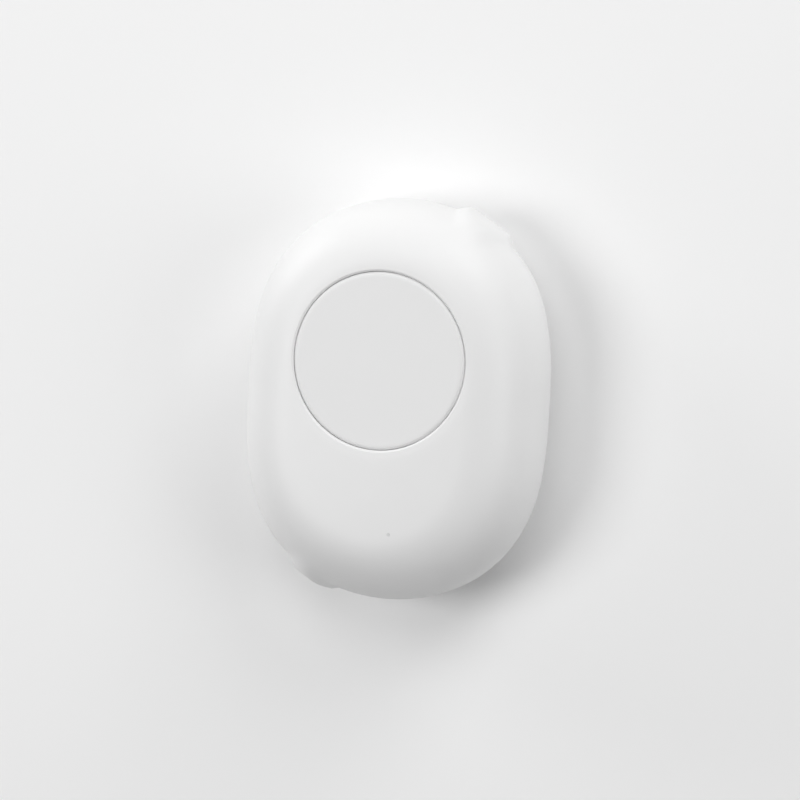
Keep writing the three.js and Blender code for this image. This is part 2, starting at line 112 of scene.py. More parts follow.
# A chamfer with softened ends, from its foot to its top, as shares (sideways, drop) of its size.
SOFT_CHAMFER = [(0.0, 1.0), (0.03, 0.92), (0.12, 0.8), (0.8, 0.12), (0.92, 0.03), (1.0, 0.0)]
DISH_DEPTH = 0.04
DISH_WIDTH = 0.9
DISH_RINGS = (0.12, 0.28, 0.48, 0.75, 1.1)
STEM_RADIUS, STEM_FOOT = 1.4, 9.95
CAP_THICKNESS = 1.4
SKIRT_INSIDE, SKIRT_FOOT = 9.2, 12.8
FLANGE_RADIUS, FLANGE_TOP, FLANGE_ROUND = 11.2, 13.85, 0.15
FILLET = 0.2
LIGHT = Vector(((PIPE_LOW[0] + PIPE_HIGH[0]) / 2 / MM, (PIPE_LOW[1] + PIPE_HIGH[1]) / 2 / MM))
LIGHT_TOP = PIPE_HIGH[2] / MM
LIGHT_TIP, LIGHT_TIP_ROUND, LIGHT_NECK = 0.15, 0.03, 14.0
LIGHT_BODY, LIGHT_FOOT, LIGHT_SHOULDER = 1.1, 7.9, 13.7
LIGHT_HOLE = 0.172

# The lugs: two flat faces, opposite each other, that stand out of the case's side.
LUG_ANGLES = (58.0, 238.0)
LUG_FACE = 23.35
LUG_MIDDLE = 3.3
LUG_HALF_LENGTH = 4.1
LUG_END_SLOPE = 1.8
LUG_TAPER, LUG_SOFTENING = 0.3, 0.2  # how much shorter and softer a lug gets for each mm upwards
LUG_BROW, LUG_BROW_SLOPE = 13.6, 5.4
LUG_FOOT, LUG_FOOT_SLOPE = 2.8, 2.2

# The rear cover.
DOOR_OPENING = 12.05
OPENING_ROUND = 0.15
LEDGE_RADIUS, LEDGE_LOW, LEDGE_HIGH = 11.15, 1.2, 1.8
LEDGE_OUTSIDE = 12.9
COVER_FLOOR = 1.5
TONGUE_OUT, TONGUE_IN, TONGUE_TOP, TONGUE_CHAMFER = 14.5, 13.3, 4.4, 0.1
BACK_STEPS = 6
BACK_EDGE_STEPS = 14
BACK_EDGE_CROWDING = 1.6  # crowds the rings towards the flat back
SCREW_PLACES = [(6.2 * sx, 14.6 * sy) for sx in (1, -1) for sy in (1, -1)]
SCREW_SEAT = [(0, -1), (1.75, -1), (1.6, 0.15), (1.6, 1.2), (0, 1.2)]
SCREW_PAD = [(0.95, 1.15), (2.5, 1.15), (2.5, 2.55), (0.95, 2.55)]
SCREW_HOLE = [(0, 0), (1, 0), (1, 3), (0, 3)]
SOUND_HOLE = [(0, -1), (0.5, -1), (0.4, 0.12), (0.4, 2), (0, 2)]
SOUND_PLACES = [(x, -15.2) for x in (-2, 0, 2)]
MARK_DEPTH = 0.15
OPEN_ANGLE, LOCKED_ANGLE = 45.0, 90.0
COVER_MARKS, DOOR_MARK = 13.4, 10.6  # how far out from the door's axis

# The door and the screws.
DOOR_RADIUS, DOOR_ROUND, DOOR_RIM = 11.9, 0.25, 0.6
DOOR_INSIDE, DOOR_CUP, DOOR_CUP_TOP, DOOR_FLOOR = 11.0, 10.3, 2.5, 1.5
COIN_RADIUS, COIN_HALF_THICKNESS, COIN_CENTRE_Z = 9, 0.9, -8.1
SCREW_LOW, SCREW_HIGH = 0.58, 1.38
HEAD_RADIUS, HEAD_ROUND = 1.4, 0.3
THREAD_TOP, THREAD_ROOT, THREAD_PITCH, THREAD_TURNS = 0.75, 0.55, 0.6, 9
CROSS_SIZE = (1.5, 0.32, 1.0)
CROSS_DEPTH = 0.45

# Equal round softboxes about the tag, in metres: each one's azimuth from +X and elevation, then watts.
WORLD_LIGHT = 0.2
LAMP_SIZE = 0.3
LAMP_DISTANCE = 0.6
LAMPS = {
    "right": (0, 30, 0.7),
    "upper_right": (60, 30, 0.8),
    "upper_right_low": (60, 8, 0.75),
    "top": (90, 58, 0.65),
    "left_low": (150, 8, 1.25),
    "left_high": (180, 58, 1.35),
    "under": (0, -90, 1.4),
}
FLOOR_HOLE = 12.9  # half-width of the floor's opening, which lets light reach the back
FLOOR_RING = 60
FLOOR_SIZE = 2000.0
FLOOR_STEPS = 144
CAMERA_LENS = 240
CAMERA_SENSOR = 36
CAMERA_DISTANCE = 0.625  # metres
CAMERA_AIM = (0.21, -0.07, 7.0)
CAMERA_BACK = (0.2904, 0.0844, 0.9532)  # from the aim towards the camera
CAMERA_ROLL = 3.2


# ---------------------------------------------------------------- sizes and colours


class TagSizes(bpy.types.PropertyGroup):
    button_radius: FloatProperty(
        name="Button Radius",
        description="Radius of the button's top",
        default=10.33 * MM,
        unit="LENGTH",
    )
    button_round: FloatProperty(
        name="Button Edge",
        description="Chamfer of the button's edge",
        default=0.28 * MM,
        unit="LENGTH",
    )
    opening_round: FloatProperty(
        name="Opening Edge",
        description="Chamfer of the edge of the button's opening",
        default=0.22 * MM,
        unit="LENGTH",
    )
    round_steps: IntProperty(
        name="Steps Round",
        description="Steps round the case",
        default=288,
        min=72,
        max=480,
    )


class TagColours(bpy.types.PropertyGroup):
    case: FloatVectorProperty(
        name="Case",
        description="Colour of the moulded case",
        subtype="COLOR",
        size=3,
        default=(0.80, 0.80, 0.80),
        min=0,
        max=1,
    )
    button: FloatVectorProperty(
        name="Button",
        description="Colour of the moulded button",
        subtype="COLOR",
        size=3,
        default=(0.79, 0.79, 0.79),
        min=0,
        max=1,
    )
    floor: FloatVectorProperty(
        name="Floor",
        description="Colour of the floor",
        subtype="COLOR",
        size=3,
        default=(0.9, 0.9, 0.9),
        min=0,
        max=1,
    )


# ---------------------------------------------------------------- the case's form


def stretch(half):
    """How much longer than wide a level of this half-width is, on each side."""
    return END_STRETCH * (1 - max(0.0, 1 - half / STRETCH_START) ** 2)


def level_gap(x, y, half):
    """Below zero inside the oval of this half-width, above zero outside it."""
    return (abs(x) / half) ** 2 + (abs(y) / (half + stretch(half))) ** PLAN_POWER - 1


def level_of(x, y):
    """The half-width of the level oval that passes through a point."""
    low, high = 1e-4, FAR_OUT
    for _ in range(HALVINGS):
        middle = (low + high) / 2
        if level_gap(x, y, middle) > 0:
            low = middle
        else:
            high = middle
    return (low + high) / 2


def reach(centre, direction, half):
    """How far a ray from a centre runs before it meets the oval of this half-width."""
    low, high = 0.0, FAR_OUT
    for _ in range(HALVINGS):
        middle = (low + high) / 2
        point = centre + direction * middle
        if level_gap(point.x, point.y, half) < 0:
            low = middle
        else:
            high = middle
    return (low + high) / 2


def front_height(half, wide=HALF_WIDTH, top=THICKNESS, start=ROLL_START):
    """The height of the front's surface where the level has this half-width."""
    crowned = CROWN * (half / start) ** 2
    drop = top - WIDEST_Z - CROWN * (wide / start) ** 2
    share = max(0.0, (half - start) / (wide - start)) ** ROLL_POWER
    return top - crowned - drop * (1 - math.sqrt(max(0.0, 1 - share)))


def back_half(z):
    """The half-width of the back's rolled edge at a height."""
    t = math.acos(max(-1.0, min(1.0, 1 - z / WIDEST_Z)))
    return BACK_FLAT + (HALF_WIDTH - BACK_FLAT) * math.sin(t)


def smooth(t):
    """Eases from nought to one as t does."""
    t = min(1.0, max(0.0, t))
    return t * t * (3 - 2 * t)


# ---------------------------------------------------------------- mesh helpers


def finish_mesh(name, bm):
    """A bmesh made into an object at the origin, in metres, with sharp edges marked by angle."""
    bmesh.ops.remove_doubles(bm, verts=bm.verts, dist=1e-4)
    bmesh.ops.recalc_face_normals(bm, faces=bm.faces)
    bmesh.ops.scale(bm, vec=(MM, MM, MM), verts=bm.verts)
    for face in bm.faces:
        face.smooth = True
    mesh = bpy.data.meshes.new(name)
    bm.to_mesh(mesh)
    bm.free()
    mesh.set_sharp_from_angle(angle=math.radians(SHARP_ANGLE))
    obj = bpy.data.objects.new(name, mesh)
    bpy.context.scene.collection.objects.link(obj)
    return obj


def turned(profile, steps, centre=(0.0, 0.0), closed=False):
    """A bmesh of a profile of (radius, z) points spun about an upright axis."""
    bm = bmesh.new()
    verts = [bm.verts.new((centre[0] + r, centre[1], z)) for r, z in profile]
    pairs = list(zip(verts, verts[1:]))
    if closed:
        pairs.append((verts[-1], verts[0]))
    edges = [bm.edges.new(pair) for pair in pairs]
    bmesh.ops.spin(
        bm,
        geom=verts + edges,
        cent=(centre[0], centre[1], 0),
        axis=(0, 0, 1),
        angle=2 * math.pi,
        steps=steps,
        use_merge=True,
        use_duplicate=False,
    )
    bmesh.ops.remove_doubles(bm, verts=bm.verts, dist=1e-4)
    return bm


def ringed(rings, steps, place):
    """A closed bmesh through rings, where place(ring, direction) gives each vertex its point."""
    start, gap = 10, 0.1
    bm = turned([(start + i * gap, i * gap) for i in range(len(rings))], steps, closed=True)
    for v in bm.verts:
        ring = rings[round((math.hypot(v.co.x, v.co.y) - start) / gap)]
        v.co = place(ring, Vector((v.co.x, v.co.y)).normalized())
    return bm


def arc(cx, cz, radius, start, end, steps):
    """Points of an arc in the profile plane, angles in degrees from +radius towards +z."""
    return [
        (
            cx + radius * math.cos(math.radians(start + (end - start) * i / steps)),
            cz + radius * math.sin(math.radians(start + (end - start) * i / steps)),
        )
        for i in range(steps + 1)
    ]


def apply_boolean(obj, cutter, operation="DIFFERENCE"):
    """Cuts or joins another object into this one, for good, and removes the other."""
    modifier = obj.modifiers.new("cut", "BOOLEAN")
    modifier.operation = operation
    modifier.solver = "EXACT"
    modifier.object = cutter
    bpy.context.view_layer.update()
    graph = bpy.context.evaluated_depsgraph_get()
    cut = bpy.data.meshes.new_from_object(obj.evaluated_get(graph))
    obj.modifiers.clear()
    old = obj.data
    obj.data = cut
    bpy.data.meshes.remove(old)
    bpy.data.objects.remove(cutter)


def cut_mark(obj, radius, angle, face, outer=0.42, inner=0.0):
    """Cuts a shallow dot, or a shallow ring where it has an inner radius, into a downward face."""
    place = (radius * math.cos(math.radians(angle)), radius * math.sin(math.radians(angle)))
    low, high = face - 1, face + MARK_DEPTH
    profile = [(inner, low), (outer, low), (outer, high), (inner, high)]
    cutter = turned(profile, HOLE_STEPS, place, closed=inner > 0)
    apply_boolean(obj, finish_mesh("mark_cutter", cutter))


def settle(obj, body, node):
    """Marks sharp edges, puts a piece on its body, and lets it stand for its CAD node."""
    for face in obj.data.polygons:
        face.use_smooth = True
    obj.data.set_sharp_from_angle(angle=math.radians(SHARP_ANGLE))
    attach(obj, body)
    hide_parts(node)


# ---------------------------------------------------------------- materials


def base_material(name, colour, roughness, metallic=0.0, **sockets):
    """A plain finish, with its node tree at hand for more."""
    material = bpy.data.materials.new(name)
    material.use_nodes = True
    nodes = material.node_tree.nodes
    shader = nodes["Principled BSDF"]
    shader.inputs["Base Color"].default_value = (*colour, 1)
    shader.inputs["Roughness"].default_value = roughness
    shader.inputs["Metallic"].default_value = metallic
    for key, value in sockets.items():
        shader.inputs[key.replace("_", " ")].default_value = value
    return material, nodes, material.node_tree.links, shader


def grained(name, colour, roughness, scale, depth, mottling=0.02, spread=0.06, metallic=0.0, **sockets):
    """A finish with fine relief, faint mottling of its colour, and uneven gloss."""
    material, nodes, links, shader = base_material(name, colour, roughness, metallic, **sockets)
    place = nodes.new("ShaderNodeTexCoord")
    fine = nodes.new("ShaderNodeTexNoise")
    fine.inputs["Scale"].default_value = scale
    fine.inputs["Detail"].default_value = 4
    broad = nodes.new("ShaderNodeTexNoise")
    broad.inputs["Scale"].default_value = scale / 30
    broad.inputs["Detail"].default_value = 2
    links.new(place.outputs["Object"], fine.inputs["Vector"])
    links.new(place.outputs["Object"], broad.inputs["Vector"])
    tint = nodes.new("ShaderNodeMapRange")
    tint.inputs["To Min"].default_value = 1 - mottling
    tint.inputs["To Max"].default_value = 1 + mottling
    links.new(broad.outputs["Fac"], tint.inputs["Value"])
    shade = nodes.new("ShaderNodeVectorMath")
    shade.operation = "SCALE"
    shade.inputs[0].default_value = colour
    links.new(tint.outputs["Result"], shade.inputs["Scale"])
    links.new(shade.outputs["Vector"], shader.inputs["Base Color"])
    gloss = nodes.new("ShaderNodeMapRange")
    gloss.inputs["To Min"].default_value = roughness - spread
    gloss.inputs["To Max"].default_value = roughness + spread
    links.new(fine.outputs["Fac"], gloss.inputs["Value"])
    links.new(gloss.outputs["Result"], shader.inputs["Roughness"])
    bump = nodes.new("ShaderNodeBump")
    bump.inputs["Strength"].default_value = 0.3
    bump.inputs["Distance"].default_value = depth
    links.new(fine.outputs["Fac"], bump.inputs["Height"])
    links.new(bump.outputs["Normal"], shader.inputs["Normal"])
    return material


def dress(obj, material):
    """Gives a piece one finish and no other."""
    obj.data.materials.clear()
    obj.data.materials.append(material)


FINISHES = {}


def make_finishes(colours):
    """Makes every finish once, for the pieces to share."""
    metal = {"scale": 9000, "depth": 0.000003, "spread": 0.06, "metallic": 1.0}
    satin = {"depth": 0.00001, "spread": 0.05, "Specular_IOR_Level": 0.5}
    matt = {"scale": 5000, "depth": 0.00001}
    looks = {
        "case": ("satin_white_case", tuple(colours.case), 0.46, {**satin, "scale": 9000, "mottling": 0.008}),
        "button": (
            "satin_white_button", tuple(colours.button), 0.52, {**satin, "scale": 9500, "mottling": 0.006}
        ),
        "inner": ("matt_grey_moulding", (0.62, 0.63, 0.64), 0.6, matt),
        "silicone": (
            "matt_silicone", (0.32, 0.34, 0.36), 0.75, {"scale": 4000, "depth": 0.00002, "mottling": 0.04}
        ),
        "steel": (
            "rolled_steel", (0.62, 0.62, 0.63), 0.3,
            {**metal, "scale": 12000, "mottling": 0.03, "spread": 0.08},
        ),
        "gilt": ("plated_spring_strip", (0.78, 0.58, 0.26), 0.3, {**metal, "mottling": 0.03}),
        "brass": ("rolled_brass_disc", (0.70, 0.50, 0.20), 0.34, {**metal, "mottling": 0.04}),
        "mask": ("green_solder_mask", (0.01, 0.09, 0.045), 0.35, {**matt, "scale": 3000, "mottling": 0.08}),
        "black": ("moulded_black", (0.02, 0.02, 0.022), 0.55, {**matt, "scale": 6000, "mottling": 0.05}),
        "ceramic": ("fired_ceramic", (0.42, 0.33, 0.24), 0.5, {**matt, "mottling": 0.06}),
        "clear": (
            "milky_light_pipe", (0.78, 0.79, 0.79), 0.3,
            {"scale": 4000, "depth": 0.000004, "mottling": 0.02, "spread": 0.04, "Transmission_Weight": 0.1},
        ),
    }
    for key, (name, colour, roughness, more) in looks.items():
        FINISHES[key] = grained(name, colour, roughness, **more)


NODE_FINISH = {
    "case_seal": "silicone",
    "sound_membrane": "black",
    "door_seal": "silicone",
    "cell_can": "steel",
    "cell_gasket": "black",
    "cell_cap": "steel",
    "battery_tray": "inner",
    "positive_contact": "gilt",
    "negative_contact": "gilt",
    "circuit_board": "mask",
    "radio_chip": "black",
    "crystal": "steel",
    "motion_sensor": "black",
    "chip_antenna": "ceramic",
    "power_inductor": "black",
    "indicator_led": "clear",
    "buzzer_case": "black",
    "buzzer_diaphragm": "brass",
    "capacitor_1": "ceramic",
    "capacitor_2": "ceramic",
    "capacitor_3": "ceramic",
    "capacitor_4": "ceramic",
    "switch_base": "black",
    "switch_dome": "steel",
    "switch_cover": "steel",
    "switch_plunger": "black",
    "button_guide": "inner",
    "return_ring": "silicone",
}


# ---------------------------------------------------------------- front shell


def lug_swell(x, y, z):
    """How far outwards a lug lifts the case's side at a point, in millimetres."""
    lift = 0.0
    for angle in LUG_ANGLES:
        a = math.radians(angle)
        out = x * math.cos(a) + y * math.sin(a)
        along = -x * math.sin(a) + y * math.cos(a) - LUG_MIDDLE
        if out <= 0:
            continue
        high = max(0.0, z - WIDEST_Z)
        length = LUG_HALF_LENGTH - LUG_TAPER * high
        ends = smooth((length - abs(along)) / (LUG_END_SLOPE + LUG_SOFTENING * high))
        tall = smooth((LUG_BROW - z) / LUG_BROW_SLOPE) * smooth((z - LUG_FOOT) / LUG_FOOT_SLOPE)
        lift = max(lift, ends * tall * max(0.0, LUG_FACE - out))
    return lift


class TAG_OT_front_shell(bpy.types.Operator):
    """Makes the rolled front shell with its lugs, button opening and light hole"""

    bl_idname = "tag.front_shell"
    bl_label = "Front Shell"

    def execute(self, context):
        sizes = context.scene.tag_sizes
        edge = sizes.opening_round / MM
        radius = sizes.button_radius / MM + OPENING_GAP
        rim = radius + edge
        rings = [("wall", radius, OPENING_FOOT), ("wall", radius, OPENING_MIDDLE)]
        rings += [("rim", radius + edge * out, edge * drop) for out, drop in SOFT_CHAMFER]
        rings += [("dish", rim + away, 0.0) for away in DISH_RINGS]
        rings += [("spread", (i + 1) / SPREAD_STEPS, 0.0) for i in range(SPREAD_STEPS)]
        rings += self.side_rings() + self.inside_rings()

        def place(ring, flat):
            kind, a, b = ring
            if kind in ("wall", "seat"):
                point, z = BUTTON_CENTRE + flat * a, b
            elif kind in ("rim", "dish"):
                point = BUTTON_CENTRE + flat * a
                z = self.face_height(point, rim) - b
            elif kind == "spread":
                near, far = rim + DISH_RINGS[-1], reach(BUTTON_CENTRE, flat, FACE_EDGE)
                point = BUTTON_CENTRE + flat * (near + (far - near) * a)
                z = self.face_height(point, rim)
            else:
                point, z = BUTTON_CENTRE + flat * reach(BUTTON_CENTRE, flat, a), b
            if kind in ("roll", "under", "spread"):
                point = point + point.normalized() * lug_swell(point.x, point.y, z)
            return (point.x, point.y, z)

        obj = finish_mesh("front_case", ringed(rings, sizes.round_steps, place))
        apply_boolean(obj, light_hole())
        settle(obj, "case", "front_shell")
        dress(obj, FINISHES["case"])
        return {"FINISHED"}

    @staticmethod
    def side_rings():
        """The rings of the rolled side, from the face's edge down to the seam."""
        first = math.asin((FACE_EDGE - ROLL_START) / (HALF_WIDTH - ROLL_START))
        turns = [first + (math.pi / 2 - first) * (i + 1) / ROLL_STEPS for i in range(ROLL_STEPS)]
        halves = [ROLL_START + (HALF_WIDTH - ROLL_START) * math.sin(t) for t in turns]
        rings = [("roll", half, front_height(half)) for half in halves]
        floor = SEAM_Z + SEAM_GAP
        levels = [WIDEST_Z + (floor - WIDEST_Z) * (i + 1) / UNDER_STEPS for i in range(UNDER_STEPS)]
        rings += [("under", back_half(z), z) for z in levels]
        return rings + [("under", back_half(floor) - SEAM_LIP, floor)]

    @staticmethod
    def inside_rings():
        """The rings of the cavity, from the seam up to the seat under the button's opening."""
        rings = [("inside", CAVITY_HALF_WIDTH, z) for z in (SEAM_Z + SEAM_GAP, CAVITY_SIDE_TOP)]
        wide, top, start = HALF_WIDTH - WALL - 0.1, THICKNESS - WALL, ROLL_START - 0.4
        for i in range(1, CEILING_STEPS):
            share = i / CEILING_STEPS
            half = CAVITY_HALF_WIDTH * (1 - share) + CAVITY_CEILING * share
            rings.append(("inside", half, front_height(half, wide, top, start)))
        return rings + [("seat", SEAT_RADIUS, SEAT_Z)]

    @staticmethod
    def face_height(point, rim):
        """The front's height at a point, with the shallow dish round the button taken out of it."""
        z = front_height(level_of(point.x, point.y))
        away = (point - BUTTON_CENTRE).length - rim
        return z - DISH_DEPTH * (1 - smooth(away / DISH_WIDTH))


def light_hole():
    """The cutter of the hole that the light pipe's tip shows through."""
    low, high = THICKNESS - 3, THICKNESS + 1
    profile = [(0, low), (LIGHT_HOLE, low), (LIGHT_HOLE, high), (0, high)]
    return finish_mesh("light_hole_cutter", turned(profile, HOLE_STEPS, tuple(LIGHT)))


# ---------------------------------------------------------------- button and light


class TAG_OT_button_cap(bpy.types.Operator):
    """Makes the round button with its chamfered edge, skirt and stem"""

    bl_idname = "tag.button_cap"
    bl_label = "Button Cap"

    def execute(self, context):
        sizes = context.scene.tag_sizes
        radius = sizes.button_radius / MM
        edge = sizes.button_round / MM
        top, under = BUTTON_TOP, BUTTON_TOP - CAP_THICKNESS
        round_x = FLANGE_RADIUS - FLANGE_ROUND
        profile = [(0, STEM_FOOT), (STEM_RADIUS - 0.15, STEM_FOOT), (STEM_RADIUS, STEM_FOOT + 0.15)]
        profile += [(STEM_RADIUS, under - FILLET), (STEM_RADIUS + FILLET, under)]
        profile += [(SKIRT_INSIDE - FILLET, under), (SKIRT_INSIDE, under - FILLET)]
        profile += [(SKIRT_INSIDE, SKIRT_FOOT)]
        profile += arc(round_x, SKIRT_FOOT + FLANGE_ROUND, FLANGE_ROUND, -90, 0, 3)
        profile += arc(round_x, FLANGE_TOP - FLANGE_ROUND, FLANGE_ROUND, 0, 90, 3)
        profile += [(radius + 0.15, FLANGE_TOP), (radius, FLANGE_TOP + 0.15)]
        profile += [(radius - edge * back, top - edge * drop) for back, drop in SOFT_CHAMFER]
        profile += [(radius * k, top) for k in (0.94, 0.85, 0.7, 0.5, 0.25)]
        profile += [(0, top)]
        bm = turned(profile, DISC_STEPS, (0.0, BUTTON_Y))
        obj = finish_mesh("press_button", bm)
        settle(obj, "button", "button_cap")
        dress(obj, FINISHES["button"])
        return {"FINISHED"}


class TAG_OT_light_pipe(bpy.types.Operator):
    """Makes the light pipe whose tip shows as a dot in the face"""

    bl_idname = "tag.light_pipe"
    bl_label = "Light Pipe"

    def execute(self, context):
        tip = LIGHT_TIP - LIGHT_TIP_ROUND
        profile = [(0, LIGHT_FOOT), (LIGHT_BODY - 0.2, LIGHT_FOOT), (LIGHT_BODY, LIGHT_FOOT + 0.3)]
        profile += [(LIGHT_BODY, LIGHT_SHOULDER), (LIGHT_TIP, LIGHT_NECK)]
        profile += arc(tip, LIGHT_TOP - LIGHT_TIP_ROUND, LIGHT_TIP_ROUND, 0, 90, 4) + [(0, LIGHT_TOP)]
        obj = finish_mesh("indicator_dot", turned(profile, HOLE_STEPS, tuple(LIGHT)))
        settle(obj, "case", "light_pipe")
        dress(obj, FINISHES["clear"])
        return {"FINISHED"}


# ---------------------------------------------------------------- back


class TAG_OT_rear_cover(bpy.types.Operator):
    """Makes the flat rear cover with its door opening, screw seats and sound holes"""

    bl_idname = "tag.rear_cover"
    bl_label = "Rear Cover"

    def execute(self, context):
        centre = Vector((0, 0))
        rounding = arc(DOOR_OPENING + OPENING_ROUND, OPENING_ROUND, OPENING_ROUND, 180, 270, 4)
        mouth = DOOR_OPENING + OPENING_ROUND
        tongue_foot = TONGUE_TOP - TONGUE_CHAMFER
        rings = [("circle", LEDGE_RADIUS, LEDGE_HIGH), ("circle", LEDGE_RADIUS, LEDGE_LOW)]
        rings += [("circle", DOOR_OPENING, LEDGE_LOW)] + [("circle", r, z) for r, z in rounding]
        rings += [("spread", i / BACK_STEPS, 0.0) for i in range(1, BACK_STEPS)]
        shares = [i / BACK_EDGE_STEPS for i in range(BACK_EDGE_STEPS + 1)]
        levels = [SEAM_Z * share ** BACK_EDGE_CROWDING for share in shares]
        rings += [("oval", back_half(z), z) for z in levels]
        rings += [("oval", back_half(SEAM_Z) - SEAM_LIP, SEAM_Z), ("oval", TONGUE_OUT, SEAM_Z)]
        rings += [("oval", TONGUE_OUT, tongue_foot), ("oval", TONGUE_OUT - TONGUE_CHAMFER, TONGUE_TOP)]
        rings += [("oval", TONGUE_IN + TONGUE_CHAMFER, TONGUE_TOP), ("oval", TONGUE_IN, tongue_foot)]
        rings += [("oval", TONGUE_IN, COVER_FLOOR), ("in", 0.5, COVER_FLOOR)]
        rings += [("circle", LEDGE_OUTSIDE, LEDGE_HIGH)]

        def place(ring, flat):
            kind, a, z = ring
            if kind == "circle":
                away = a
            elif kind == "spread":
                away = mouth + (reach(centre, flat, BACK_FLAT) - mouth) * a
            elif kind == "in":
                away = LEDGE_OUTSIDE + (reach(centre, flat, TONGUE_IN) - LEDGE_OUTSIDE) * a
            else:
                away = reach(centre, flat, a)
            return (*(flat * away), z)

        obj = finish_mesh("back_cover", ringed(rings, context.scene.tag_sizes.round_steps, place))
        for spot in SCREW_PLACES:
            apply_boolean(obj, finish_mesh("screw_seat_cutter", turned(SCREW_SEAT, SMALL_STEPS, spot)))
            pad = finish_mesh("screw_pad", turned(SCREW_PAD, SMALL_STEPS, spot, closed=True))
            apply_boolean(obj, pad, "UNION")
            apply_boolean(obj, finish_mesh("screw_hole_cutter", turned(SCREW_HOLE, HOLE_STEPS, spot)))
        for spot in SOUND_PLACES:
            apply_boolean(obj, finish_mesh("sound_hole_cutter", turned(SOUND_HOLE, HOLE_STEPS, spot)))
        cut_mark(obj, COVER_MARKS, LOCKED_ANGLE, 0.0)
        cut_mark(obj, COVER_MARKS, OPEN_ANGLE, 0.0, outer=0.5, inner=0.28)
        settle(obj, "case", "rear_cover")
        dress(obj, FINISHES["case"])
        return {"FINISHED"}


class TAG_OT_battery_door(bpy.types.Operator):
    """Makes the round battery door with its coin slot"""

    bl_idname = "tag.battery_door"
    bl_label = "Battery Door"

    def execute(self, context):
        face, step = DOOR_FACE, DOOR_FACE + DOOR_RIM
        profile = [(radius, face) for radius in (0, 3, 6, 9, 10.4)]
        profile += arc(DOOR_RADIUS - DOOR_ROUND, face + DOOR_ROUND, DOOR_ROUND, -90, 0, 5)
        profile += [(DOOR_RADIUS, step), (DOOR_INSIDE, step), (DOOR_INSIDE, DOOR_CUP_TOP)]
        profile += [(DOOR_CUP, DOOR_CUP_TOP), (DOOR_CUP, DOOR_FLOOR), (0, DOOR_FLOOR)]
        obj = finish_mesh("coin_slot_door", turned(profile, DISC_STEPS))
        half = COIN_HALF_THICKNESS
        bm = turned([(0, -half), (COIN_RADIUS, -half), (COIN_RADIUS, half), (0, half)], COIN_STEPS)
        bmesh.ops.rotate(bm, verts=bm.verts, cent=(0, 0, 0), matrix=Matrix.Rotation(math.pi / 2, 3, "X"))
        bmesh.ops.translate(bm, verts=bm.verts, vec=(0, 0, COIN_CENTRE_Z))
        apply_boolean(obj, finish_mesh("coin_slot_cutter", bm))
        cut_mark(obj, DOOR_MARK, LOCKED_ANGLE, face)
        settle(obj, "door", "battery_door")
        dress(obj, FINISHES["case"])
        return {"FINISHED"}


class TAG_OT_screws(bpy.types.Operator):
    """Makes the four case screws"""

    bl_idname = "tag.screws"
    bl_label = "Case Screws"

    def execute(self, context):
        for index, place in enumerate(SCREW_PLACES, 1):
            obj = finish_mesh(f"cross_screw_{index}", turned(self.outline(), SMALL_STEPS, place))
            for turn in (0, 90):
                bm = bmesh.new()
                bmesh.ops.create_cube(bm, size=1)
                bmesh.ops.scale(bm, vec=CROSS_SIZE, verts=bm.verts)
                spin = Matrix.Rotation(math.radians(turn), 3, "Z")
                bmesh.ops.rotate(bm, verts=bm.verts, cent=(0, 0, 0), matrix=spin)
                middle = SCREW_LOW + CROSS_DEPTH - CROSS_SIZE[2] / 2
                bmesh.ops.translate(bm, verts=bm.verts, vec=(*place, middle))
                apply_boolean(obj, finish_mesh("recess_cutter", bm))
            settle(obj, "case", f"case_screw_{index}")
            dress(obj, FINISHES["steel"])
        return {"FINISHED"}

    @staticmethod
    def outline():
        """A screw's profile: the rounded head, the ridges of the thread, and the point."""
        profile = [(0, SCREW_LOW)]
        profile += arc(HEAD_RADIUS - HEAD_ROUND, SCREW_LOW + HEAD_ROUND, HEAD_ROUND, -90, 0, 5)
        profile += [(HEAD_RADIUS, SCREW_HIGH), (THREAD_TOP, SCREW_HIGH)]
        for turn in range(THREAD_TURNS):
            z = SCREW_HIGH + 0.3 + turn * THREAD_PITCH
            profile += [(THREAD_ROOT, z), (THREAD_TOP, z + THREAD_PITCH / 2)]
        end = SCREW_HIGH + 7
        return profile + [(THREAD_ROOT, end - 0.9), (0.25, end), (0, end)]


class TAG_OT_inner_finishes(bpy.types.Operator):
    """Gives every inner piece its finish"""

    bl_idname = "tag.inner_finishes"
    bl_label = "Inner Finishes"

    def execute(self, context):
        for node, finish in NODE_FINISH.items():
            dress(NODES[node], FINISHES[finish])
        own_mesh(NODES["return_ring"])
        return {"FINISHED"}


# ---------------------------------------------------------------- stage


